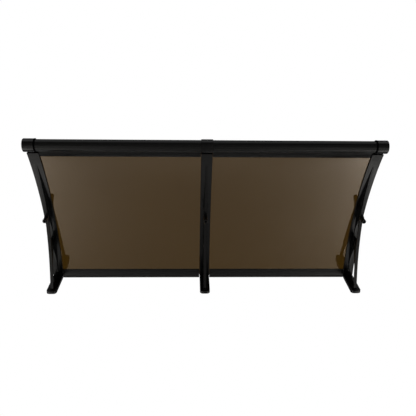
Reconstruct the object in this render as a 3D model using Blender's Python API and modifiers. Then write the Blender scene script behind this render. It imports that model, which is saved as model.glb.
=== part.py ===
"""Door canopy: two tinted polycarbonate sheets bent over three moulded wall brackets.

Metres, +Z up. The wall is the plane Y = 0 and the canopy reaches out to -Y. X = 0 is the middle bracket and
Z = 0 is the underside of the sheets at the wall.

Side views are drawn as (d, z): d is the distance from the wall and z the height. s is the distance from the
wall measured along the underside of the sheets, which run level at first and then follow an arc downwards.
"""

import math

import bmesh
import bpy
from mathutils import Matrix, Vector

# Overall
CAP_TO_CAP = 1.200
PROJECTION = 0.600
BRACKET_FROM_END = 0.0265
FIT_GAP = 0.0003
SIDE_CLEARANCE = 0.0007

# Sheets
SHEET_THICKNESS = 0.003
SHEET_LEVEL_RUN = 0.028
SHEET_RADIUS = 1.000
SHEET_SIDE_GAP = 0.001
SHEET_STEPS = 22

# Front rail: a tube with a slotted tail, drawn with the tube's middle at (0, 0) and the tail along +x
TUBE_DIAMETER = 0.0395
TUBE_RISE = 0.006
RAIL_WALL = 0.0016
TAIL_LENGTH = 0.02375
SLOT_BEHIND_TUBE = 0.00075
TUBE_SIDES = 48

# Caps and sleeve on the front rail
CAP_BEFORE_TAIL = 0.0047
CAP_WALL = 0.0021
CAP_RIM_RISE = 0.0006
CAP_RIM_LENGTH = 0.005
CAP_END_WALL = 0.0035
CAP_ROUND = 0.003
CAP_SIDES = 44
SLEEVE_WALL = 0.00245
SLEEVE_SHORTER = 0.0004
SLEEVE_KEY_AT = math.radians(-65)
SLEEVE_KEY_WIDTH = 0.0034
SLEEVE_KEY_HEIGHT = 0.0006
SLEEVE_SLIT_AT = math.radians(-83)
SLEEVE_SLIT_WIDTH = 0.0012

# Rear rail and its seal
REAR_RAIL_FRONT = 0.0353
REAR_RAIL_BACK = 0.0075
SEAL_BACK = 0.0004
SEAL_HEIGHT = 0.012

# Bracket: flange and the rib on its top that the sheets lie beside
FLANGE_WIDTH = 0.0385
FLANGE_THICKNESS = 0.005
LOCATING_RIB_WIDTH = 0.007

# Bracket: web and brace, which narrows from one distance from the wall to another
WEB_THICKNESS = 0.005
BRACE_WIDTH = 0.0115
BRACE_FRONT_WIDTH = 0.0057
BRACE_NARROWS = (0.300, 0.420)
BRACE_THICKNESS = 0.006
BRACE_SHORT_OF_FRONT = 0.100
BRACE_END_STEP = 0.0006
BRACE_RUN_IN = 0.010
BRACE_TOP_AT = 0.240
BRACE_TOP_DROP = 0.0745
HEEL_START = 0.036
HEEL_MIDDLE_AT = 0.024
HEEL_MIDDLE_DROP = 0.005
HEEL_END_DROP = 0.008
EDGE_ROUND = 0.0008

# Bracket: the web's two leaf-shaped openings and the ring between them
FRONT_LEAF = (0.190, 0.268)
REAR_LEAF = (0.0285, 0.1465)
LEAF_BORDER = 0.0025
LEAF_POINT = 2.2
LEAF_CORNER = 0.005
RING_AT = 0.168
RING_DROP = 0.037
RING_DIAMETER = 0.032
RING_WIDTH = 0.0118
RING_HOLE = 0.019

# Bracket: hollow boss under the brace
BOSS_AT = 0.286
BOSS_DIAMETER = 0.0155
BOSS_BOTTOM = 0.1078
BOSS_HOLE = 0.0085
BOSS_HOLE_DEPTH = 0.012
BOSS_ROUND = 0.0018
PAD_LENGTH = 0.024
PAD_WIDTH = 0.016
PAD_HEIGHT = 0.004

# Bracket: wall plate
PLATE_WIDTH = 0.037
PLATE_THICKNESS = 0.0115
PLATE_BOTTOM = -0.1294
PLATE_TOP = 0.038
PLATE_CORNER = 0.011
WALL_HOLE = 0.0055
WALL_HOLE_SINK = 0.0096
WALL_HOLE_EDGE = 0.0082

# Clamp strips and their screws
STRIP_WIDTH = 0.0375
STRIP_THICKNESS = 0.0025
SCREWS_PER_STRIP = 5
SCREW_FIRST = 0.060
SCREW_BEFORE_FRONT = 0.0624
SCREW_HEAD = 0.0080
SCREW_HEAD_HEIGHT = 0.0025
SCREW_SHANK = 0.0036
SCREW_LENGTH = 0.0095
SCREW_SIDES = 12
CROSS_WIDTH = 0.0010
CROSS_SPAN = 0.0044
CROSS_DEPTH = 0.0012

BRACKET_SPACING = CAP_TO_CAP / 2 - BRACKET_FROM_END
SHEET_REAR = PLATE_THICKNESS + 0.001
STRIP_REAR = PLATE_THICKNESS + 0.0015
TAIL_INNER = FLANGE_WIDTH / 2 + SIDE_CLEARANCE
TAIL_OUTER = BRACKET_SPACING - TAIL_INNER
TAIL_REACH = TUBE_DIAMETER / 2 + TAIL_LENGTH
SLOT_FLOOR = TUBE_DIAMETER / 2 + SLOT_BEHIND_TUBE
COVER_BORE = TUBE_DIAMETER + 2 * FIT_GAP
CAP_LENGTH = CAP_TO_CAP / 2 - TAIL_OUTER - CAP_BEFORE_TAIL
CAP_BODY = COVER_BORE + 2 * CAP_WALL
CAP_RIM = CAP_BODY + 2 * CAP_RIM_RISE
SLEEVE_DIAMETER = COVER_BORE + 2 * SLEEVE_WALL
BRACE_END = PROJECTION - BRACE_SHORT_OF_FRONT
HIGH_IN_FLANGE = FLANGE_THICKNESS * 0.25
LOW_IN_FLANGE = FLANGE_THICKNESS * 0.75
SLOT_HEIGHT = SHEET_THICKNESS + 2 * FIT_GAP
SHEET_SETBACK = CAP_RIM / 2 + 0.0005
GRIP_MIDDLE = (SHEET_SETBACK + TAIL_REACH) / 2
SEEN_FROM_SIDE = Matrix(((0, 0, -1, 0), (-1, 0, 0, 0), (0, 1, 0, 0), (0, 0, 0, 1)))


def rail_turn():
    """Downward slope of the front rail, which puts its caps at the stated projection."""
    square = SHEET_RADIUS + SHEET_THICKNESS / 2 + TUBE_RISE
    out = PROJECTION - CAP_RIM / 2 - SHEET_LEVEL_RUN
    return math.asin(out / math.hypot(square, GRIP_MIDDLE)) - math.atan2(GRIP_MIDDLE, square)


RAIL_TURN = rail_turn()
GRIP_AT = SHEET_LEVEL_RUN + SHEET_RADIUS * RAIL_TURN


def behind_tube(reach):
    """The s of a place that far behind the tube's middle, in the direction of the rail's tail."""
    return GRIP_AT + GRIP_MIDDLE - reach


SHEET_FRONT = behind_tube(SHEET_SETBACK)
FLANGE_FRONT = behind_tube(SHEET_SETBACK + 0.0015)
STRIP_FRONT = behind_tube(SHEET_SETBACK + 0.0005)


def clear_scene():
    for obj in list(bpy.data.objects):
        bpy.data.objects.remove(obj, do_unlink=True)


def new_collection(name):
    collection = bpy.data.collections.new(name)
    bpy.context.scene.collection.children.link(collection)
    return collection


def finish(name, colour, roughness, metallic=0.0, alpha=1.0):
    """A plain material from an sRGB colour."""
    material = bpy.data.materials.new(name)
    material.use_nodes = True
    shader = material.node_tree.nodes["Principled BSDF"]
    linear = [c / 12.92 if c <= 0.04045 else ((c + 0.055) / 1.055) ** 2.4 for c in colour]
    shader.inputs["Base Color"].default_value = (*linear, 1)
    shader.inputs["Roughness"].default_value = roughness
    shader.inputs["Metallic"].default_value = metallic
    shader.inputs["Alpha"].default_value = alpha
    material.diffuse_color = (*linear, alpha)
    return material


def sheet_point(s, above=0.0):
    """(d, z) at s along the sheets' underside, and a height above it measured square to the sheet."""
    if s <= SHEET_LEVEL_RUN:
        return s, above
    turn = (s - SHEET_LEVEL_RUN) / SHEET_RADIUS
    reach = SHEET_RADIUS + above
    return SHEET_LEVEL_RUN + reach * math.sin(turn), reach * math.cos(turn) - SHEET_RADIUS


def flange_line(d, depth):
    """Height at a distance d from the wall of a line that runs a depth below the sheets' underside."""
    out = max(0.0, d - SHEET_LEVEL_RUN)
    return math.sqrt((SHEET_RADIUS - depth) ** 2 - out**2) - SHEET_RADIUS


def brace_radius():
    """Radius of the arc that takes the brace's underside from its top to just below the flange."""
    out = BRACE_END - BRACE_TOP_AT
    below = FIT_GAP + FLANGE_THICKNESS + BRACE_END_STEP
    down = -flange_line(BRACE_END, below) - BRACE_TOP_DROP
    return (out**2 + down**2) / (2 * down)


BRACE_RADIUS = brace_radius()


def brace_line(d, above=0.0):
    """Height at a distance d from the wall of the brace's underside, or of a line above it."""
    return (
        math.sqrt((BRACE_RADIUS + above) ** 2 - (d - BRACE_TOP_AT) ** 2)
        - BRACE_RADIUS
        - BRACE_TOP_DROP
    )


def spread(first, last, steps):
    return [first + (last - first) * i / steps for i in range(steps + 1)]


def arc(centre, radius, start, end, steps):
    return [
        (centre[0] + radius * math.cos(a), centre[1] + radius * math.sin(a))
        for a in spread(start, end, steps)
    ]


def circle(radius, sides):
    return arc((0, 0), radius, 0, 2 * math.pi * (sides - 1) / sides, sides - 1)


def rounded(corners, steps=3):
    """An outline with some of its corners rounded, each corner being (x, y, radius)."""
    outline = []
    for i, (x, y, radius) in enumerate(corners):
        if not radius:
            outline.append((x, y))
            continue
        here = Vector((x, y))
        back = (Vector(corners[i - 1][:2]) - here).normalized()
        on = (Vector(corners[(i + 1) % len(corners)][:2]) - here).normalized()
        half = back.angle(on) / 2
        middle = here + (back + on).normalized() * (radius / math.sin(half))
        start = here + back * (radius / math.tan(half)) - middle
        end = here + on * (radius / math.tan(half)) - middle
        sweep = start.angle_signed(end)
        for k in range(steps + 1):
            spoke = start.copy()
            spoke.rotate(Matrix.Rotation(-sweep * k / steps, 2))
            outline.append(tuple(middle + spoke))
    return outline


def band(first, last, low, high, steps=SHEET_STEPS):
    """The outline of a band that follows the sheets from first to last, between two heights above them."""
    if first < SHEET_LEVEL_RUN < last:
        stations = [first] + spread(SHEET_LEVEL_RUN, last, steps)
    else:
        stations = spread(first, last, steps)
    lower = [sheet_point(s, low) for s in stations]
    upper = [sheet_point(s, high) for s in reversed(stations)]
    return lower + upper


def add_object(name, bm, collection):
    """An object made from finished bmesh geometry."""
    mesh = bpy.data.meshes.new(name)
    bm.to_mesh(mesh)
    bm.free()
    obj = bpy.data.objects.new(name, mesh)
    collection.objects.link(obj)
    return obj


def flat_solid(name, outlines, width, collection):
    """A solid from flat outlines, those inside the first being holes, with its width split about z = 0."""
    curve = bpy.data.curves.new(name, "CURVE")
    curve.dimensions = "2D"
    curve.fill_mode = "BOTH"
    curve.extrude = width / 2
    for outline in outlines:
        spline = curve.splines.new("POLY")
        spline.points.add(len(outline) - 1)
        for point, (x, y) in zip(spline.points, outline):
            point.co = (x, y, 0, 1)
        spline.use_cyclic_u = True
    drawn = bpy.data.objects.new(name, curve)
    collection.objects.link(drawn)
    graph = bpy.context.evaluated_depsgraph_get()
    mesh = bpy.data.meshes.new_from_object(drawn.evaluated_get(graph))
    bpy.data.objects.remove(drawn, do_unlink=True)
    bm = bmesh.new()
    bm.from_mesh(mesh)
    bpy.data.meshes.remove(mesh)
    bmesh.ops.remove_doubles(bm, verts=bm.verts, dist=1e-6)
    bmesh.ops.dissolve_limit(bm, angle_limit=0.001, verts=bm.verts, edges=bm.edges)
    bmesh.ops.recalc_face_normals(bm, faces=bm.faces)
    return add_object(name, bm, collection)


def side_solid(name, outlines, width, collection):
    """A solid whose outlines are drawn in the side view (d, z), with its width split about X = 0."""
    obj = flat_solid(name, outlines, width, collection)
    obj.matrix_world = SEEN_FROM_SIDE
    return obj


def turned(name, profile, sides, collection):
    """A solid turned about Z from a profile that runs down its outside from top to bottom."""
    bm = bmesh.new()
    points = [bm.verts.new((radius, 0, height)) for radius, height in profile]
    for first, second in zip(points, points[1:]):
        bm.edges.new((first, second))
    obj = add_object(name, bm, collection)
    screw = obj.modifiers.new("Turn", "SCREW")
    screw.steps = sides
    screw.render_steps = sides
    screw.use_merge_vertices = True
    screw.merge_threshold = 1e-5
    return obj


def rod(name, diameter, length, sides, collection):
    """A plain cylinder about Z with its middle at the origin."""
    bm = bmesh.new()
    bmesh.ops.create_cone(
        bm,
        cap_ends=True,
        segments=sides,
        radius1=diameter / 2,
        radius2=diameter / 2,
        depth=length,
    )
    return add_object(name, bm, collection)


def block(name, low, high, collection):
    bm = bmesh.new()
    bmesh.ops.create_cube(bm, size=1)
    low, high = Vector(low), Vector(high)
    bmesh.ops.scale(bm, vec=high - low, verts=bm.verts)
    bmesh.ops.translate(bm, vec=(low + high) / 2, verts=bm.verts)
    return add_object(name, bm, collection)


def combine(obj, other, operation):
    other.hide_render = True
    other.display_type = "WIRE"
    boolean = obj.modifiers.new(operation.title(), "BOOLEAN")
    boolean.operation = operation
    boolean.object = other
    boolean.solver = "EXACT"


def bevel(obj, width, segments=1, angle=60):
    modifier = obj.modifiers.new("Bevel", "BEVEL")
    modifier.width = width
    modifier.segments = segments
    modifier.limit_method = "ANGLE"
    modifier.angle_limit = math.radians(angle)


def take_mesh(obj):
    """The object's finished mesh in world coordinates. The object itself is removed."""
    bpy.context.view_layer.update()
    graph = bpy.context.evaluated_depsgraph_get()
    mesh = bpy.data.meshes.new_from_object(obj.evaluated_get(graph))
    mesh.transform(obj.matrix_world)
    bpy.data.objects.remove(obj, do_unlink=True)
    bm = bmesh.new()
    bm.from_mesh(mesh)
    bmesh.ops.dissolve_degenerate(bm, edges=bm.edges, dist=1e-6)
    bmesh.ops.recalc_face_normals(bm, faces=bm.faces)
    bm.to_mesh(mesh)
    bm.free()
    mesh.shade_smooth()
    mesh.set_sharp_from_angle(angle=math.radians(32))
    return mesh


def place(name, mesh, material, collection, matrix=None):
    """Puts one piece of the canopy in its place."""
    if not mesh.materials:
        mesh.materials.append(material)
    piece = bpy.data.objects.new(name, mesh)
    piece.matrix_world = matrix or Matrix.Identity(4)
    collection.objects.link(piece)


def tube_frame(side=1):
    """A frame at the tube's middle, at X = 0, with its Z along the tube towards one side."""
    d, z = sheet_point(GRIP_AT, SHEET_THICKNESS / 2 + TUBE_RISE)
    out = d + GRIP_MIDDLE * math.cos(RAIL_TURN)
    down = z - GRIP_MIDDLE * math.sin(RAIL_TURN)
    across = Vector((side, 0, 0))
    tail = Vector((0, math.cos(RAIL_TURN), math.sin(RAIL_TURN)))
    rise = across.cross(tail)
    turn = Matrix((tail, rise, across)).transposed().to_4x4()
    return Matrix.Translation((0, -out, down)) @ turn


def flange_and_rib(parts):
    """The flange under the sheets, and the rib on its top."""
    low = -FIT_GAP - FLANGE_THICKNESS
    flange = side_solid(
        "flange",
        [band(PLATE_THICKNESS - 0.0005, FLANGE_FRONT, low, -FIT_GAP)],
        FLANGE_WIDTH,
        parts,
    )
    bevel(flange, EDGE_ROUND)
    rib = side_solid(
        "locating_rib",
        [band(SHEET_REAR, SHEET_FRONT, low / 2, SHEET_THICKNESS)],
        LOCATING_RIB_WIDTH,
        parts,
    )
    bevel(rib, EDGE_ROUND / 2)
    return flange, rib


def brace_plan(parts):
    """The brace as seen from above, as a block taller than the bracket."""
    near, far = BRACE_NARROWS
    side = [
        (BRACE_WIDTH / 2, 0.0),
        (BRACE_WIDTH / 2, -near),
        (BRACE_FRONT_WIDTH / 2, -far),
        (BRACE_FRONT_WIDTH / 2, -PROJECTION),
    ]
    other_side = [(-x, y) for x, y in reversed(side)]
    return flat_solid("brace_plan", [side + other_side], PROJECTION, parts)


def brace_body(parts):
    """The brace, from its heel on the wall plate to where it runs into the flange."""
    stations = spread(HEEL_START, BRACE_END, 13)
    inside = BRACE_END + BRACE_RUN_IN
    tip = flange_line(inside, FLANGE_THICKNESS * 0.6)
    under = [(d, brace_line(d)) for d in stations] + [(inside, tip)]
    over = [
        (d, min(brace_line(d, BRACE_THICKNESS), flange_line(d, HIGH_IN_FLANGE)))
        for d in reversed(stations + [inside])
    ]
    root = PLATE_THICKNESS / 2
    start = brace_line(HEEL_START)
    heel = [
        (root, brace_line(root, BRACE_THICKNESS)),
        (root, start - HEEL_END_DROP),
        (PLATE_THICKNESS + 0.002, start - HEEL_END_DROP),
        (HEEL_MIDDLE_AT, start - HEEL_MIDDLE_DROP),
    ]
    brace = side_solid("brace", [under + over + heel], 2 * BRACE_WIDTH, parts)
    combine(brace, brace_plan(parts), "INTERSECT")
    bevel(brace, EDGE_ROUND)
    return brace


def leaf(ends):
    """Outline of an opening in the web: square at the end by the wall, pointed at the other."""
    near, far = ends
    high, low = [], []
    for d in spread(near, far, 9)[:-1]:
        share = 1 - ((d - near) / (far - near)) ** LEAF_POINT
        top = flange_line(d, FIT_GAP + FLANGE_THICKNESS) - LEAF_BORDER
        bottom = brace_line(d, BRACE_THICKNESS) + LEAF_BORDER
        middle = (top + bottom) / 2
        high.append((d, middle + (top - middle) * share, 0.0))
        low.append((d, middle + (bottom - middle) * share, 0.0))
    top = flange_line(far, FIT_GAP + FLANGE_THICKNESS) - LEAF_BORDER
    bottom = brace_line(far, BRACE_THICKNESS) + LEAF_BORDER
    point = (far, (top + bottom) / 2, 0.0)
    high[0] = (*high[0][:2], LEAF_CORNER)
    low[0] = (*low[0][:2], LEAF_CORNER)
    return rounded(high + [point] + low[::-1])


def web_body(parts):
    """The thin wall between flange and brace, with its two openings."""
    half = BRACE_THICKNESS / 2
    stations = spread(PLATE_THICKNESS / 2, BRACE_END - BRACE_RUN_IN / 2, 18)
    top = [(d, flange_line(d, HIGH_IN_FLANGE)) for d in stations]
    bottom = [
        (d, min(brace_line(d, half), flange_line(d, LOW_IN_FLANGE))) for d in reversed(stations)
    ]
    return side_solid("web", [top + bottom, leaf(FRONT_LEAF), leaf(REAR_LEAF)], WEB_THICKNESS, parts)


def ring_bodies(parts):
    """The ring that stands in the web, and its hole."""
    ring = rod("ring", RING_DIAMETER, RING_WIDTH, 32, parts)
    bevel(ring, EDGE_ROUND)
    hole = rod("ring_hole", RING_HOLE, RING_WIDTH * 2, 24, parts)
    for body in (ring, hole):
        body.rotation_euler.y = math.pi / 2
        body.location = (0, -RING_AT, -RING_DROP)
    return ring, hole


def boss_bodies(parts):
    """The boss that points down from the brace, the pad that it stands on, and its blind hole."""
    top = brace_line(BOSS_AT, BRACE_THICKNESS / 2)
    boss = rod("boss", BOSS_DIAMETER, top + BOSS_BOTTOM, 24, parts)
    boss.location = (0, -BOSS_AT, (top - BOSS_BOTTOM) / 2)
    bevel(boss, BOSS_ROUND, 2)
    hole = rod("boss_hole", BOSS_HOLE, 2 * BOSS_HOLE_DEPTH, 16, parts)
    hole.location = (0, -BOSS_AT, -BOSS_BOTTOM)
    along, across, corner = PAD_LENGTH / 2, PAD_WIDTH / 2, PAD_WIDTH * 0.45
    outline = rounded(
        [
            (-across, -along, corner),
            (across, -along, corner),
            (across, along, corner),
            (-across, along, corner),
        ],
        4,
    )
    low = brace_line(BOSS_AT) - PAD_HEIGHT
    pad = flat_solid("pad", [outline], top - low, parts)
    pad.location = (0, -BOSS_AT, (top + low) / 2)
    bevel(pad, EDGE_ROUND)
    return boss, pad, hole


def plate_body(parts):
    half = PLATE_WIDTH / 2
    outline = rounded(
        [
            (-half, PLATE_BOTTOM, PLATE_CORNER),
            (half, PLATE_BOTTOM, PLATE_CORNER),
            (half, PLATE_TOP, PLATE_CORNER),
            (-half, PLATE_TOP, PLATE_CORNER),
        ],
        4,
    )
    plate = flat_solid("plate", [outline], PLATE_THICKNESS, parts)
    plate.rotation_euler.x = math.pi / 2
    plate.location.y = -PLATE_THICKNESS / 2
    bevel(plate, EDGE_ROUND)
    return plate


def wall_hole(name, height, parts):
    """A screw hole through the plate, sunk for the head on its front."""
    hole, sink = WALL_HOLE / 2, WALL_HOLE_SINK / 2
    past = PLATE_THICKNESS / 2
    profile = [
        (0, PLATE_THICKNESS + past),
        (sink, PLATE_THICKNESS + past),
        (sink, PLATE_THICKNESS),
        (hole, PLATE_THICKNESS - (sink - hole)),
        (hole, -past),
        (0, -past),
    ]
    cutter = turned(name, profile, 20, parts)
    cutter.rotation_euler.x = math.pi / 2
    cutter.location.z = height
    return cutter


def screw_stations():
    return spread(SCREW_FIRST, STRIP_FRONT - SCREW_BEFORE_FRONT, SCREWS_PER_STRIP - 1)


def screw_frame(s, above):
    """A frame on the sheets at s whose Z points square out of their top."""
    d, z = sheet_point(s, above)
    turn = max(0.0, s - SHEET_LEVEL_RUN) / SHEET_RADIUS
    return Matrix.Translation((0, -d, z)) @ Matrix.Rotation(turn, 4, "X")


def screw_hole(name, s, above, depth, parts):
    """A cutter for a strip screw, reaching equally above and below a height over the sheets."""
    hole = rod(name, SCREW_SHANK + 2 * FIT_GAP, 2 * depth, 12, parts)
    hole.matrix_world = screw_frame(s, above)
    return hole


def strip_top():
    return SHEET_THICKNESS + FIT_GAP + STRIP_THICKNESS


def bracket_mesh(parts):
    """The moulded bracket: flange, web, brace, ring, boss and wall plate in one body."""
    flange, rib = flange_and_rib(parts)
    ring, ring_hole = ring_bodies(parts)
    boss, pad, boss_hole = boss_bodies(parts)
    for other in (rib, plate_body(parts), brace_body(parts), web_body(parts), ring, pad, boss):
        combine(flange, other, "UNION")
    cuts = [ring_hole, boss_hole]
    cuts.append(wall_hole("wall_hole_low", PLATE_BOTTOM + WALL_HOLE_EDGE, parts))
    cuts.append(wall_hole("wall_hole_high", PLATE_TOP - WALL_HOLE_EDGE, parts))
    depth = SCREW_LENGTH - STRIP_THICKNESS
    for s in screw_stations():
        cuts.append(screw_hole("pilot_hole", s, SHEET_THICKNESS, depth, parts))
    for cut in cuts:
        combine(flange, cut, "DIFFERENCE")
    return take_mesh(flange)


def strip_mesh(parts):
    """The clamp strip that lies on the sheets over a bracket."""
    low = SHEET_THICKNESS + FIT_GAP
    strip = side_solid("strip", [band(STRIP_REAR, STRIP_FRONT, low, strip_top())], STRIP_WIDTH, parts)
    bevel(strip, EDGE_ROUND / 2)
    for s in screw_stations():
        combine(strip, screw_hole("strip_hole", s, strip_top(), 2 * STRIP_THICKNESS, parts), "DIFFERENCE")
    return take_mesh(strip)


def screw_mesh(parts):
    """A pan-head screw about Z with its head's underside at Z = 0."""
    head, shank, rise = SCREW_HEAD / 2, SCREW_SHANK / 2, SCREW_HEAD_HEIGHT
    side = rise * 0.3
    dome = [
        (head * math.sin(a), side + (rise - side) * math.cos(a)) for a in spread(0, math.pi / 2, 3)
    ]
    profile = dome + [
        (head, 0),
        (shank, 0),
        (shank, shank - SCREW_LENGTH),
        (shank * 0.3, -SCREW_LENGTH),
        (0, -SCREW_LENGTH),
    ]
    body = turned("screw", profile, SCREW_SIDES, parts)
    for across, along in ((CROSS_SPAN, CROSS_WIDTH), (CROSS_WIDTH, CROSS_SPAN)):
        low = (-across / 2, -along / 2, rise - CROSS_DEPTH)
        high = (across / 2, along / 2, rise + CROSS_DEPTH)
        combine(body, block("cross", low, high, parts), "DIFFERENCE")
    return take_mesh(body)


def sheet_mesh(parts):
    """One sheet, with the middle of its width at X = 0."""
    width = BRACKET_SPACING - LOCATING_RIB_WIDTH - 2 * SHEET_SIDE_GAP
    outline = band(SHEET_REAR, SHEET_FRONT, 0, SHEET_THICKNESS)
    return take_mesh(side_solid("sheet", [outline], width, parts))


def front_rail_outlines():
    """Section of the front rail, with the tube's bore as a second outline."""
    radius = TUBE_DIAMETER / 2
    top = SLOT_HEIGHT / 2 + RAIL_WALL - TUBE_RISE
    bottom = -SLOT_HEIGHT / 2 - RAIL_WALL - TUBE_RISE
    start, end = math.asin(top / radius), math.asin(bottom / radius)
    tube = [(x, y, 0.0) for x, y in arc((0, 0), radius, start, end + 2 * math.pi, TUBE_SIDES)]
    nose = RAIL_WALL * 0.4
    tail = [
        (TAIL_REACH, bottom, nose),
        (TAIL_REACH, bottom + RAIL_WALL, nose),
        (SLOT_FLOOR, bottom + RAIL_WALL, 0.0),
        (SLOT_FLOOR, top - RAIL_WALL, 0.0),
        (TAIL_REACH, top - RAIL_WALL, nose),
        (TAIL_REACH, top, nose),
    ]
    return [rounded(tube + tail, 2), circle(radius - RAIL_WALL, TUBE_SIDES)]


def front_rail_mesh(side, parts):
    """One front rail. Its tail is cut away where the sleeve and the cap go on."""
    first = FIT_GAP
    last = CAP_TO_CAP / 2 - CAP_END_WALL - FIT_GAP
    frame = tube_frame()
    rail = flat_solid("rail", front_rail_outlines(), last - first, parts)
    rail.matrix_world = frame @ Matrix.Translation((0, 0, side * (first + last) / 2))
    half = TAIL_REACH
    past = 2 * TAIL_REACH
    for start, end in ((-past, TAIL_INNER), (TAIL_OUTER, TAIL_OUTER + past)):
        low = (0, -half, min(side * start, side * end))
        high = (TAIL_REACH + half, half, max(side * start, side * end))
        trim = block("tail_trim", low, high, parts)
        trim.matrix_world = frame
        keep = rod("tube_to_keep", TUBE_DIAMETER + 0.0002, 3 * CAP_TO_CAP, TUBE_SIDES * 2, parts)
        keep.matrix_world = frame
        combine(trim, keep, "DIFFERENCE")
        combine(rail, trim, "DIFFERENCE")
    return take_mesh(rail)


def cap_mesh(parts):
    """An end cap about Z, closed at Z = 0 and open below."""
    rim, body, bore = CAP_RIM / 2, CAP_BODY / 2, COVER_BORE / 2
    face = arc((body - CAP_ROUND, -CAP_ROUND), CAP_ROUND, math.pi / 2, 0, 4)
    step = CAP_RIM_LENGTH - CAP_LENGTH
    chamfer = CAP_RIM_RISE * 0.8
    profile = [(0, 0)] + face + [
        (body, step),
        (rim - chamfer, step),
        (rim, step - chamfer),
        (rim, chamfer - CAP_LENGTH),
        (rim - chamfer, -CAP_LENGTH),
        (bore, -CAP_LENGTH),
        (bore, -CAP_END_WALL),
        (0, -CAP_END_WALL),
    ]
    return take_mesh(turned("cap", profile, CAP_SIDES, parts))


def sleeve_mesh(parts):
    """The sleeve over the joint of the front rails, with a key on its outside and a slit beside it."""
    length = 2 * TAIL_INNER - 2 * SLEEVE_SHORTER
    radius, bore = SLEEVE_DIAMETER / 2, COVER_BORE / 2
    sleeve = flat_solid("sleeve", [circle(radius, CAP_SIDES), circle(bore, CAP_SIDES)], length, parts)
    bevel(sleeve, 0.0006)
    wide, high = SLEEVE_KEY_WIDTH / 2, radius + SLEEVE_KEY_HEIGHT
    key = block("key", (bore + 0.0008, -wide, -length * 0.47), (high, wide, length * 0.47), parts)
    key.rotation_euler.z = SLEEVE_KEY_AT - RAIL_TURN
    bevel(key, SLEEVE_KEY_HEIGHT * 0.4)
    combine(sleeve, key, "UNION")
    wide = SLEEVE_SLIT_WIDTH / 2
    slit = block("slit", (radius - 0.001, -wide, -length), (2 * radius, wide, length), parts)
    slit.rotation_euler.z = SLEEVE_SLIT_AT - RAIL_TURN
    combine(sleeve, slit, "DIFFERENCE")
    return take_mesh(sleeve)


def rear_rail_mesh(parts):
    """One rear rail, a channel with its slot towards the sheets."""
    top = SHEET_THICKNESS + FIT_GAP
    inside = REAR_RAIL_BACK + RAIL_WALL
    nose = RAIL_WALL * 0.4
    outline = rounded(
        [
            (REAR_RAIL_BACK, -FIT_GAP - RAIL_WALL, nose),
            (REAR_RAIL_FRONT, -FIT_GAP - RAIL_WALL, nose),
            (REAR_RAIL_FRONT, -FIT_GAP, nose),
            (inside, -FIT_GAP, 0.0),
            (inside, top, 0.0),
            (REAR_RAIL_FRONT, top, nose),
            (REAR_RAIL_FRONT, top + RAIL_WALL, nose),
            (REAR_RAIL_BACK, top + RAIL_WALL, nose),
        ],
        2,
    )
    return take_mesh(side_solid("rear_rail", [outline], TAIL_OUTER - TAIL_INNER, parts))


def seal_mesh(parts):
    """One rubber strip between a rear rail and the wall, with a lip that leans on the wall."""
    front = REAR_RAIL_BACK - FIT_GAP
    notch = SEAL_BACK + 0.6 * (front - SEAL_BACK)
    middle = SHEET_THICKNESS / 2
    half = SEAL_HEIGHT / 2
    outline = rounded(
        [
            (front, middle - half * 0.6, 0.001),
            (front, middle + half * 0.6, 0.001),
            (SEAL_BACK, middle + half, 0.0008),
            (SEAL_BACK, middle + half * 0.55, 0.0008),
            (notch, middle, 0.0012),
            (SEAL_BACK, middle - half * 0.55, 0.0008),
            (SEAL_BACK, middle - half, 0.0008),
        ],
        3,
    )
    return take_mesh(side_solid("seal", [outline], TAIL_OUTER - TAIL_INNER, parts))


def add_brackets(canopy, cutters, plastic, strip_metal, steel):
    bracket, strip, screw = bracket_mesh(cutters), strip_mesh(cutters), screw_mesh(cutters)
    for name, x in (("left", -BRACKET_SPACING), ("centre", 0.0), ("right", BRACKET_SPACING)):
        across = Matrix.Translation((x, 0, 0))
        place(f"bracket_{name}", bracket, plastic, canopy, across)
        place(f"clamp_strip_{name}", strip, strip_metal, canopy, across)
        for i, s in enumerate(screw_stations(), 1):
            seat = across @ screw_frame(s, strip_top() + FIT_GAP)
            place(f"strip_screw_{name}_{i}", screw, steel, canopy, seat)


def add_sides(canopy, cutters, tinted, metal, plastic, rubber):
    """The pieces that the left and right halves have one each of."""
    sheet, cap = sheet_mesh(cutters), cap_mesh(cutters)
    rear_rail, seal = rear_rail_mesh(cutters), seal_mesh(cutters)
    for name, side in (("left", -1), ("right", 1)):
        across = Matrix.Translation((side * BRACKET_SPACING / 2, 0, 0))
        place(f"sheet_{name}", sheet, tinted, canopy, across)
        place(f"rear_rail_{name}", rear_rail, metal, canopy, across)
        place(f"rear_seal_{name}", seal, rubber, canopy, across)
        place(f"front_rail_{name}", front_rail_mesh(side, cutters), metal, canopy)
        end = tube_frame(side) @ Matrix.Translation((0, 0, CAP_TO_CAP / 2))
        place(f"end_cap_{name}", cap, plastic, canopy, end)


def main():
    clear_scene()
    canopy = new_collection("door_canopy")
    cutters = new_collection("cutters")
    plastic = finish("black_moulded_plastic", (0.045, 0.045, 0.047), 0.28)
    metal = finish("black_coated_aluminium", (0.075, 0.075, 0.078), 0.42, 0.5)
    tinted = finish("brown_tinted_polycarbonate", (0.30, 0.21, 0.13), 0.08, 0.0, 0.6)
    rubber = finish("black_rubber", (0.06, 0.06, 0.06), 0.8)
    steel = finish("zinc_plated_steel", (0.62, 0.63, 0.65), 0.3, 1.0)
    add_brackets(canopy, cutters, plastic, metal, steel)
    add_sides(canopy, cutters, tinted, metal, plastic, rubber)
    place("centre_sleeve", sleeve_mesh(cutters), plastic, canopy, tube_frame())


main()
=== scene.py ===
"""Looks of a door canopy: brown tinted sheets on black moulded wall brackets, seen from below."""

import math

import bmesh
import bpy
from mathutils import Matrix, Vector


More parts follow.
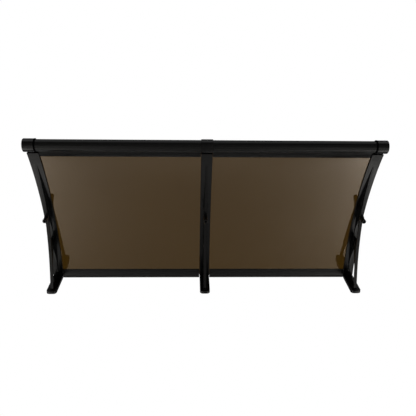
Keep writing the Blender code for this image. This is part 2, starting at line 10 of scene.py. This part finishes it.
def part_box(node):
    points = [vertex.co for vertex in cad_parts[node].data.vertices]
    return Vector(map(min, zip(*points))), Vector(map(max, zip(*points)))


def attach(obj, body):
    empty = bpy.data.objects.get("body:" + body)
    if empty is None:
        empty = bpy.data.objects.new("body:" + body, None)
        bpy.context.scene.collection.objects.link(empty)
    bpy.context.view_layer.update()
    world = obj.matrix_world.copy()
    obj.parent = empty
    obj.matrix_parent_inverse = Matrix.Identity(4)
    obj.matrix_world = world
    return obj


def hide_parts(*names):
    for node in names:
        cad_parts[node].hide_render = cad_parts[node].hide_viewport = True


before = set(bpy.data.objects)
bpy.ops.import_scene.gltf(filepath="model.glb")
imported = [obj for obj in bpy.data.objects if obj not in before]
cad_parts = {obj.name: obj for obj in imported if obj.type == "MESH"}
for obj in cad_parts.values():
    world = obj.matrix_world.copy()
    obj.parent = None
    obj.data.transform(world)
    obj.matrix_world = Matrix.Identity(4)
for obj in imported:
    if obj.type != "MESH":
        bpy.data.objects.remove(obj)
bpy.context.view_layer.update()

bl_info = {
    "name": "Door canopy",
    "version": (1, 0, 0),
    "blender": (4, 5, 0),
    "location": "View3D > Sidebar > Canopy",
    "description": "Dresses a door canopy's solids with its finishes and sets up its stage",
    "category": "Object",
}

NODES = sorted(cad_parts)
BODY = "root"
IMAGE_WIDTH = 416
MM = 0.001

# Side view of the sheets: level from the wall, then an arc downwards about an axis along X
LEVEL_RUN = 0.028
ARC_RADIUS = 1.000
SHEET_THICKNESS = 0.003
# Matt rim at the inner end of the end caps
RIM_WIDTH = 0.0055

# Vertices closer than this are one, faces flatter to each other than this are one, and an edge is
# shaded smooth up to the crisp angle and keeps its sawn corner up to the sawn angle, in degrees
WELD_DISTANCE = 0.000002
FLAT_ANGLE = 0.05
CRISP_ANGLE = 30
SAWN_ANGLE = 60

# Middle range of a noise texture's value
NOISE_LOW = 0.3
NOISE_HIGH = 0.7
# Sockets of a colour Mix node, which share their names with its other kinds
MIX_FIRST = 6
MIX_SECOND = 7
MIX_RESULT = 2

# Studio floor: half its width, and how far its middle is behind the wall
FLOOR_REACH = 14
FLOOR_BACK = 4

# Soft boxes: place, size and power in watts. The side strips and brace fills stand low on both sides
# and shine downwards. A side strip's rear end is turned outwards by the spread, in radians
SIDE_STRIP_PLACE = (3.38, 4.86, -1.28)
SIDE_STRIP_SIZE = (1.7, 8.4)
SIDE_STRIP_POWER = 242
SIDE_STRIP_SPREAD = 0.26
BRACE_FILL_PLACE = (1.2, -0.15, -1.6)
BRACE_FILL_SIZE = (0.8, 0.9)
BRACE_FILL_POWER = 5.5
REAR_BOX_PLACE = (0, 8.0, 2.4)
REAR_BOX_TARGET = (0, 7.4, -2.15)
REAR_BOX_SIZE = (6.0, 4.0)
REAR_BOX_POWER = 150
FRONT_BOX_PLACE = (0, -3.8, 0.8)
FRONT_BOX_TARGET = (0, -0.5, -0.2)
FRONT_BOX_SIZE = (5.0, 3.0)
FRONT_BOX_POWER = 36
# Straight down, but for a trace of tilt that settles how a box is turned
DOWN = Vector((0, -0.001, -1))
# Strength of the surroundings as a light, where 1 is white
SURROUNDINGS_GLOW = 0.115

# Camera: place, and angles in radians from level and facing the wall
CAMERA_PLACE = (-0.0532, -1.0588, -1.8930)
CAMERA_YAW = 0.0781
CAMERA_PITCH = 1.1551
CAMERA_ROLL = -0.0702
SENSOR_MM = 36.0
SHIFT_UP_PIXELS = 17.0
CLIP_NEAR = 0.05
CLIP_FAR = 60


def linear(hex_colour):
    """An sRGB hex colour as linear red, green, blue and full alpha."""
    text = hex_colour.lstrip("#")
    parts = [int(text[i : i + 2], 16) / 255 for i in (0, 2, 4)]
    return tuple(c / 12.92 if c <= 0.04045 else ((c + 0.055) / 1.055) ** 2.4 for c in parts) + (1.0,)


def add_node(tree, kind, settings=None, inputs=None):
    """Adds a node with its settings. An input is a value, or a socket to link from."""
    node = tree.nodes.new(kind)
    for name, value in (settings or {}).items():
        setattr(node, name, value)
    for name, value in (inputs or {}).items():
        socket = node.inputs[name]
        if isinstance(value, bpy.types.NodeSocket):
            tree.links.new(value, socket)
        else:
            socket.default_value = value
    return node


def fresh_material(name):
    """A material with an empty node tree but for its output and the surface shader."""
    material = bpy.data.materials.new(name)
    material.use_nodes = True
    tree = material.node_tree
    tree.nodes.clear()
    output = add_node(tree, "ShaderNodeOutputMaterial")
    shader = add_node(tree, "ShaderNodeBsdfPrincipled")
    tree.links.new(shader.outputs["BSDF"], output.inputs["Surface"])
    return material, tree, shader


def grain(tree, size_mm, stretch=(1, 1, 1), detail=2.0):
    """Noise on Object coordinates with a grain of that size, longer along axes stretched above 1."""
    place = add_node(tree, "ShaderNodeTexCoord")
    scale = [1 / (size_mm * MM * s) for s in stretch]
    mapping = add_node(
        tree, "ShaderNodeMapping", inputs={"Vector": place.outputs["Object"], "Scale": scale}
    )
    return add_node(
        tree,
        "ShaderNodeTexNoise",
        inputs={"Vector": mapping.outputs["Vector"], "Scale": 1.0, "Detail": detail},
    ).outputs["Fac"]


def between(tree, value, low, high):
    """A 0 to 1 value stretched from its usual middle range to low and high."""
    return add_node(
        tree,
        "ShaderNodeMapRange",
        inputs={
            "Value": value,
            "From Min": NOISE_LOW,
            "From Max": NOISE_HIGH,
            "To Min": low,
            "To Max": high,
        },
    ).outputs["Result"]


def bumped(tree, shader, height, depth_mm, strength):
    """Bump from a 0 to 1 height over a real depth."""
    bump = add_node(
        tree,
        "ShaderNodeBump",
        inputs={"Height": height, "Distance": depth_mm * MM, "Strength": strength},
    )
    tree.links.new(bump.outputs["Normal"], shader.inputs["Normal"])


def tinted_by(tree, shader, value, first, second):
    """Base colour that drifts between two hex colours."""
    mix = add_node(
        tree,
        "ShaderNodeMix",
        {"data_type": "RGBA"},
        {"Factor": value, MIX_FIRST: linear(first), MIX_SECOND: linear(second)},
    )
    tree.links.new(mix.outputs[MIX_RESULT], shader.inputs["Base Color"])


def uneven_gloss(tree, shader, value, low, high):
    """Roughness that drifts from low to high with a 0 to 1 value."""
    tree.links.new(between(tree, value, low, high), shader.inputs["Roughness"])


def moulded_abs(finish):
    """Injection-moulded black ABS: a glossy skin with a faint orange peel and cloudier patches.

    It gives the eye near black with sharp pale reflections. Real orange peel is about 2 mm across,
    and it is drawn at 6 mm to show in the render.
    """
    material, tree, shader = fresh_material("glossy_black_moulded_ABS")
    shader.inputs["IOR"].default_value = 1.5
    shader.inputs["Specular IOR Level"].default_value = 0.25
    clouds = grain(tree, size_mm=60, detail=3)
    tinted_by(tree, shader, clouds, finish.plastic_deep, finish.plastic_pale)
    uneven_gloss(tree, shader, grain(tree, size_mm=25), low=0.19, high=0.25)
    bumped(tree, shader, grain(tree, size_mm=6), depth_mm=0.005, strength=0.3)
    return material


def eroded_abs(finish):
    """Spark-eroded black ABS on the end caps' rim: no gloss, so it gives the eye a flat dark band.

    The real grain is about 0.1 mm across, and it is drawn at 3 mm to show in the render.
    """
    material, tree, shader = fresh_material("matt_black_moulded_ABS")
    shader.inputs["IOR"].default_value = 1.5
    shader.inputs["Specular IOR Level"].default_value = 0.02
    clouds = grain(tree, size_mm=60, detail=3)
    tinted_by(tree, shader, clouds, finish.plastic_deep, finish.plastic_pale)
    eroded = grain(tree, size_mm=3)
    uneven_gloss(tree, shader, eroded, low=0.5, high=0.7)
    bumped(tree, shader, eroded, depth_mm=0.01, strength=0.3)
    return material


def anodised_aluminium(finish):
    """Black anodised aluminium extrusion: satin, with die lines that run the length of the rail.

    It gives the eye a soft dark grey sheen, drawn out along the rail. The black layer hides the bare
    metal and reflects as an oxide does, so it isn't set metallic. Real die lines are a few tenths of
    a millimetre apart, and they are drawn at 3 mm to show in the render.
    """
    material, tree, shader = fresh_material("black_anodised_aluminium")
    shader.inputs["Specular IOR Level"].default_value = 0.21
    clouds = grain(tree, size_mm=90, detail=3)
    tinted_by(tree, shader, clouds, finish.metal_deep, finish.metal_pale)
    die_lines = grain(tree, size_mm=3, stretch=(160, 1, 1))
    uneven_gloss(tree, shader, die_lines, low=0.20, high=0.36)
    bumped(tree, shader, die_lines, depth_mm=0.02, strength=0.4)
    return material


def tinted_polycarbonate(finish):
    """Brown tinted solid polycarbonate: clear gloss, with the faint waviness of an extruded sheet.

    It gives the eye a deep brown that the bright surroundings shine through, and mirror images.
    """
    material, tree, shader = fresh_material("brown_tinted_polycarbonate")
    shader.inputs["Transmission Weight"].default_value = 1.0
    shader.inputs["IOR"].default_value = 1.585
    shader.inputs["Specular Tint"].default_value = linear(finish.sheet_sheen)
    tinted_by(tree, shader, grain(tree, size_mm=180), finish.sheet_deep, finish.sheet_pale)
    uneven_gloss(tree, shader, grain(tree, size_mm=40, detail=3), low=0.02, high=0.06)
    bumped(tree, shader, grain(tree, size_mm=120), depth_mm=0.03, strength=0.25)
    return material


def rubber_seal(finish):
    """Extruded black EPDM: matt, with a dusty bloom that gives the eye a soft dark grey.

    The real skin's grain is about 0.2 mm across, and it is drawn at 1 mm to show in a close view.
    """
    material, tree, shader = fresh_material("matt_black_EPDM")
    bloom = grain(tree, size_mm=12, detail=4)
    tinted_by(tree, shader, bloom, finish.rubber_deep, finish.rubber_pale)
    uneven_gloss(tree, shader, grain(tree, size_mm=6), low=0.62, high=0.82)
    bumped(tree, shader, grain(tree, size_mm=1), depth_mm=0.03, strength=0.5)
    return material


def zinc_plate(finish):
    """Bright zinc plate on rolled steel screws: pale grey metal that gives the eye small glints."""
    material, tree, shader = fresh_material("zinc_plated_steel")
    shader.inputs["Metallic"].default_value = 1.0
    patches = grain(tree, size_mm=2.5, detail=3)
    tinted_by(tree, shader, patches, finish.steel_deep, finish.steel_pale)
    uneven_gloss(tree, shader, grain(tree, size_mm=1.5), low=0.22, high=0.42)
    return material


def pale_floor(finish):
    """Matt studio paper: it gives the eye a plain pale ground, and its light to all that mirrors it."""
    material, tree, shader = fresh_material("matt_studio_paper")
    shader.inputs["Roughness"].default_value = 0.9
    shading = grain(tree, size_mm=400, detail=3)
    tinted_by(tree, shader, shading, finish.floor_deep, finish.floor_pale)
    bumped(tree, shader, grain(tree, size_mm=8), depth_mm=0.1, strength=0.2)
    return material


MAKERS = {
    "moulded_plastic": moulded_abs,
    "matt_rim": eroded_abs,
    "coated_aluminium": anodised_aluminium,
    "tinted_sheet": tinted_polycarbonate,
    "rubber": rubber_seal,
    "plated_steel": zinc_plate,
    "floor": pale_floor,
}
_made = {}


def finish_for(slot):
    """A material, made once."""
    if slot not in _made:
        _made[slot] = MAKERS[slot](bpy.context.scene.canopy_finish)
    return _made[slot]


def object_from(bm, name):
    """An object in the scene that takes over a bmesh."""
    mesh = bpy.data.meshes.new(name)
    bm.to_mesh(mesh)
    bm.free()
    obj = bpy.data.objects.new(name, mesh)
    bpy.context.scene.collection.objects.link(obj)
    return obj


def dress(obj, node, slot):
    """Gives a piece its finish and puts it in the place of its CAD node."""
    obj.data.materials.append(finish_for(slot))
    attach(obj, BODY)
    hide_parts(node)


def smooth_curves(bm):
    """Smooth shading over curves, with every edge above the crisp angle kept crisp."""
    for face in bm.faces:
        face.smooth = True
    for edge in bm.edges:
        edge.smooth = edge.calc_face_angle(0) < math.radians(CRISP_ANGLE)


def merged_copy(node):
    """A bmesh of a CAD node with its loose triangles joined and flat areas made whole."""
    bm = bmesh.new()
    bm.from_mesh(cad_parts[node].data)
    bmesh.ops.remove_doubles(bm, verts=bm.verts, dist=WELD_DISTANCE)
    flat = math.radians(FLAT_ANGLE)
    bmesh.ops.dissolve_limit(bm, angle_limit=flat, verts=bm.verts, edges=bm.edges)
    return bm


def refined_piece(node, slot):
    """A piece made from its CAD solid, smooth over its curves."""
    bm = merged_copy(node)
    smooth_curves(bm)
    obj = object_from(bm, node + "_body")
    dress(obj, node, slot)
    return obj


def nodes_named(start):
    """The CAD nodes whose names begin so, in order."""
    return [name for name in NODES if name.startswith(start)]


class CANOPY_PG_finish(bpy.types.PropertyGroup):
    """Colours of the canopy's finishes, as sRGB hex values."""

    plastic_deep: bpy.props.StringProperty(
        name="Plastic, deep", description="Darker tone of the moulded plastic", default="#020202"
    )
    plastic_pale: bpy.props.StringProperty(
        name="Plastic, pale", description="Paler tone of the moulded plastic", default="#040405"
    )
    metal_deep: bpy.props.StringProperty(
        name="Rails, deep", description="Darker tone of the anodised rails", default="#070707"
    )
    metal_pale: bpy.props.StringProperty(
        name="Rails, pale", description="Paler tone of the anodised rails", default="#0b0b0b"
    )
    sheet_deep: bpy.props.StringProperty(
        name="Sheet, deep", description="Darker tone of the tinted sheets", default="#352409"
    )
    sheet_pale: bpy.props.StringProperty(
        name="Sheet, pale", description="Paler tone of the tinted sheets", default="#39280b"
    )
    sheet_sheen: bpy.props.StringProperty(
        name="Sheet sheen", description="Tint of the sheets' reflections", default="#fff0dc"
    )
    rubber_deep: bpy.props.StringProperty(
        name="Seal, deep", description="Darker tone of the rubber seal", default="#101010"
    )
    rubber_pale: bpy.props.StringProperty(
        name="Seal, pale", description="Paler tone of the rubber seal", default="#1c1c1b"
    )
    steel_deep: bpy.props.StringProperty(
        name="Screws, deep", description="Darker tone of the plated screws", default="#8f9194"
    )
    steel_pale: bpy.props.StringProperty(
        name="Screws, pale", description="Paler tone of the plated screws", default="#b9bbbe"
    )
    floor_deep: bpy.props.StringProperty(
        name="Floor, deep", description="Darker tone of the studio floor", default="#dcdad6"
    )
    floor_pale: bpy.props.StringProperty(
        name="Floor, pale", description="Paler tone of the studio floor", default="#e6e4e0"
    )


class CANOPY_PG_sizes(bpy.types.PropertyGroup):
    """Sizes that shape the new pieces and the stage."""

    sheet_steps: bpy.props.IntProperty(
        name="Sheet steps", description="Steps along a sheet's arc", default=96, min=8
    )
    sheet_edge: bpy.props.FloatProperty(
        name="Sheet edge",
        description="Round on the sheets' sawn edges",
        default=0.0004,
        min=0.0,
        unit="LENGTH",
    )
    floor_height: bpy.props.FloatProperty(
        name="Floor height", description="Height of the studio floor", default=-2.15, unit="LENGTH"
    )
    focal_pixels: bpy.props.FloatProperty(
        name="Focal length",
        description="Focal length in pixels of the square picture",
        default=542.6,
        min=1.0,
    )


class CANOPY_OT_brackets(bpy.types.Operator):
    """Makes the three moulded brackets."""

    bl_idname = "canopy.brackets"
    bl_label = "Brackets"

    def execute(self, context):
        for node in nodes_named("bracket_"):
            refined_piece(node, "moulded_plastic")
        return {"FINISHED"}


class CANOPY_OT_sheets(bpy.types.Operator):
    """Makes the two bent sheets."""

    bl_idname = "canopy.sheets"
    bl_label = "Sheets"

    def execute(self, context):
        sizes = context.scene.canopy_sizes
        for node in nodes_named("sheet_"):
            self.make(node, sizes)
        return {"FINISHED"}

    def make(self, node, sizes):
        """A thin section swept level from the rear edge, then spun down to the front edge."""
        (left, front, _), (right, rear_edge, _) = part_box(node)
        turn = self.turn_to(front)
        bm = bmesh.new()
        section = ((left, 0), (right, 0), (right, SHEET_THICKNESS), (left, SHEET_THICKNESS))
        rear = bm.faces.new([bm.verts.new((x, rear_edge, z)) for x, z in section])
        level = bmesh.ops.extrude_face_region(bm, geom=[rear])
        moved = [v for v in level["geom"] if isinstance(v, bmesh.types.BMVert)]
        bmesh.ops.translate(bm, vec=(0, -LEVEL_RUN - rear_edge, 0), verts=moved)
        end = [f for f in level["geom"] if isinstance(f, bmesh.types.BMFace)]
        bmesh.ops.spin(
            bm,
            geom=end + list(end[0].edges) + list(end[0].verts),
            cent=(0, -LEVEL_RUN, -ARC_RADIUS),
            axis=(1, 0, 0),
            angle=turn,
            steps=sizes.sheet_steps,
        )
        bmesh.ops.remove_doubles(bm, verts=bm.verts, dist=WELD_DISTANCE)
        bmesh.ops.recalc_face_normals(bm, faces=bm.faces)
        smooth_curves(bm)
        obj = object_from(bm, node + "_pane")
        bevel = obj.modifiers.new("Sawn edge", "BEVEL")
        bevel.width = sizes.sheet_edge
        bevel.segments = 2
        bevel.limit_method = "ANGLE"
        bevel.angle_limit = math.radians(SAWN_ANGLE)
        dress(obj, node, "tinted_sheet")

    def turn_to(self, front):
        """Angle of the arc at which its top surface, which reaches furthest, is at the front's Y."""
        return math.asin((-front - LEVEL_RUN) / (ARC_RADIUS + SHEET_THICKNESS))


class CANOPY_OT_rails(bpy.types.Operator):
    """Makes the front and rear rails and the clamp strips."""

    bl_idname = "canopy.rails"
    bl_label = "Rails and clamp strips"

    def execute(self, context):
        for start in ("front_rail_", "rear_rail_", "clamp_strip_"):
            for node in nodes_named(start):
                refined_piece(node, "coated_aluminium")
        return {"FINISHED"}


class CANOPY_OT_caps(bpy.types.Operator):
    """Makes the end caps and the sleeve of the front rail."""

    bl_idname = "canopy.caps"
    bl_label = "End caps and sleeve"

    def execute(self, context):
        for node in nodes_named("end_cap_"):
            self.matt_rim(refined_piece(node, "moulded_plastic"), node)
        refined_piece("centre_sleeve", "moulded_plastic")
        return {"FINISHED"}

    def matt_rim(self, cap, node):
        """Gives the faces next to the cap's inner end the matt finish."""
        cap.data.materials.append(finish_for("matt_rim"))
        (left, _, _), (right, _, _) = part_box(node)
        limit = min(abs(left), abs(right)) + RIM_WIDTH
        for face in cap.data.polygons:
            if abs(face.center.x) < limit:
                face.material_index = 1


class CANOPY_OT_seals(bpy.types.Operator):
    """Makes the rubber seals behind the rear rails."""

    bl_idname = "canopy.seals"
    bl_label = "Seals"

    def execute(self, context):
        for node in nodes_named("rear_seal_"):
            refined_piece(node, "rubber")
        return {"FINISHED"}


class CANOPY_OT_screws(bpy.types.Operator):
    """Makes the screws of the clamp strips."""

    bl_idname = "canopy.screws"
    bl_label = "Strip screws"

    def execute(self, context):
        for node in nodes_named("strip_screw_"):
            refined_piece(node, "plated_steel")
        return {"FINISHED"}


def soft_light(name, place, target, size, power, turn=0.0):
    """A soft box that faces a point, turned about its own axis, and is seen only in reflections."""
    light = bpy.data.lights.new(name, "AREA")
    light.shape = "RECTANGLE"
    light.size = size[0]
    light.size_y = size[1]
    light.energy = power
    obj = bpy.data.objects.new(name, light)
    aim = (Vector(target) - Vector(place)).to_track_quat("-Z", "Y").to_matrix().to_4x4()
    obj.matrix_world = Matrix.Translation(place) @ aim @ Matrix.Rotation(turn, 4, "Z")
    obj.visible_camera = False
    obj.visible_transmission = False
    bpy.context.scene.collection.objects.link(obj)


class CANOPY_OT_stage(bpy.types.Operator):
    """Sets up the floor, the lights, the white surroundings and the camera."""

    bl_idname = "canopy.stage"
    bl_label = "Stage"

    def execute(self, context):
        sizes = context.scene.canopy_sizes
        context.scene.view_settings.view_transform = "Standard"
        self.floor(sizes.floor_height)
        self.lights()
        self.surroundings(context.scene)
        self.camera(context.scene, sizes.focal_pixels)
        return {"FINISHED"}

    def floor(self, height):
        """A wide level sheet of paper."""
        bm = bmesh.new()
        bmesh.ops.create_grid(bm, x_segments=4, y_segments=4, size=FLOOR_REACH)
        bmesh.ops.translate(bm, vec=(0, FLOOR_BACK, height), verts=bm.verts)
        paper = object_from(bm, "studio_floor")
        paper.data.materials.append(finish_for("floor"))

    def lights(self):
        """Low boxes that brighten the floor which sheets and braces mirror, and two large boxes."""
        for side in (-1, 1):
            place = self.beside(side, SIDE_STRIP_PLACE)
            turn = -side * SIDE_STRIP_SPREAD
            soft_light("side_strip", place, place + DOWN, SIDE_STRIP_SIZE, SIDE_STRIP_POWER, turn)
            place = self.beside(side, BRACE_FILL_PLACE)
            soft_light("brace_fill", place, place + DOWN, BRACE_FILL_SIZE, BRACE_FILL_POWER)
        soft_light("rear_box", REAR_BOX_PLACE, REAR_BOX_TARGET, REAR_BOX_SIZE, REAR_BOX_POWER)
        soft_light("front_box", FRONT_BOX_PLACE, FRONT_BOX_TARGET, FRONT_BOX_SIZE, FRONT_BOX_POWER)

    def beside(self, side, place):
        """A right-hand place, or its mirror image on the left for a side of -1."""
        return Vector((side * place[0], place[1], place[2]))

    def surroundings(self, scene):
        """White where it is seen directly or through the sheets, and dimmer as a light."""
        world = bpy.data.worlds.new("white_surroundings")
        scene.world = world
        world.use_nodes = True
        tree = world.node_tree
        tree.nodes.clear()
        path = add_node(tree, "ShaderNodeLightPath")
        seen = add_node(
            tree,
            "ShaderNodeMath",
            {"operation": "MAXIMUM"},
            {0: path.outputs["Is Camera Ray"], 1: path.outputs["Is Transmission Ray"]},
        )
        strength = add_node(
            tree,
            "ShaderNodeMapRange",
            inputs={"Value": seen.outputs[0], "To Min": SURROUNDINGS_GLOW, "To Max": 1.0},
        )
        background = add_node(
            tree,
            "ShaderNodeBackground",
            inputs={"Color": (1, 1, 1, 1), "Strength": strength.outputs["Result"]},
        )
        add_node(tree, "ShaderNodeOutputWorld", inputs={"Surface": background.outputs[0]})

    def camera(self, scene, focal):
        """Stands in front of the canopy and well below it, looking steeply up."""
        level_ahead = Vector((math.sin(CAMERA_YAW), math.cos(CAMERA_YAW), 0))
        ahead = level_ahead * math.cos(CAMERA_PITCH)
        ahead.z = math.sin(CAMERA_PITCH)
        side = ahead.cross(Vector((0, 0, 1))).normalized()
        rise = side.cross(ahead)
        right = side * math.cos(CAMERA_ROLL) + rise * math.sin(CAMERA_ROLL)
        up = rise * math.cos(CAMERA_ROLL) - side * math.sin(CAMERA_ROLL)
        turn = Matrix((right, up, -ahead)).transposed().to_4x4()
        data = bpy.data.cameras.new("camera")
        data.sensor_fit = "HORIZONTAL"
        data.sensor_width = SENSOR_MM
        data.lens = SENSOR_MM * focal / IMAGE_WIDTH
        data.shift_y = SHIFT_UP_PIXELS / IMAGE_WIDTH
        data.clip_start = CLIP_NEAR
        data.clip_end = CLIP_FAR
        obj = bpy.data.objects.new("camera", data)
        obj.matrix_world = Matrix.Translation(CAMERA_PLACE) @ turn
        scene.collection.objects.link(obj)
        scene.camera = obj


OPERATORS = (
    CANOPY_OT_brackets,
    CANOPY_OT_sheets,
    CANOPY_OT_rails,
    CANOPY_OT_caps,
    CANOPY_OT_seals,
    CANOPY_OT_screws,
    CANOPY_OT_stage,
)


class CANOPY_PT_panel(bpy.types.Panel):
    """Lists the canopy's operators and its settings."""

    bl_idname = "CANOPY_PT_panel"
    bl_label = "Door canopy"
    bl_space_type = "VIEW_3D"
    bl_region_type = "UI"
    bl_category = "Canopy"

    def draw(self, context):
        for operator in OPERATORS:
            self.layout.operator(operator.bl_idname)
        for group in (context.scene.canopy_sizes, context.scene.canopy_finish):
            for name in group.bl_rna.properties.keys():
                if name not in ("rna_type", "name"):
                    self.layout.prop(group, name)


CLASSES = (CANOPY_PG_finish, CANOPY_PG_sizes) + OPERATORS + (CANOPY_PT_panel,)


def register():
    for cls in CLASSES:
        bpy.utils.register_class(cls)
    bpy.types.Scene.canopy_finish = bpy.props.PointerProperty(type=CANOPY_PG_finish)
    bpy.types.Scene.canopy_sizes = bpy.props.PointerProperty(type=CANOPY_PG_sizes)


def unregister():
    del bpy.types.Scene.canopy_sizes
    del bpy.types.Scene.canopy_finish
    for cls in reversed(CLASSES):
        bpy.utils.unregister_class(cls)


def main():
    register()
    bpy.ops.canopy.brackets()
    bpy.ops.canopy.sheets()
    bpy.ops.canopy.rails()
    bpy.ops.canopy.caps()
    bpy.ops.canopy.seals()
    bpy.ops.canopy.screws()
    bpy.ops.canopy.stage()


if __name__ == "__main__":
    main()
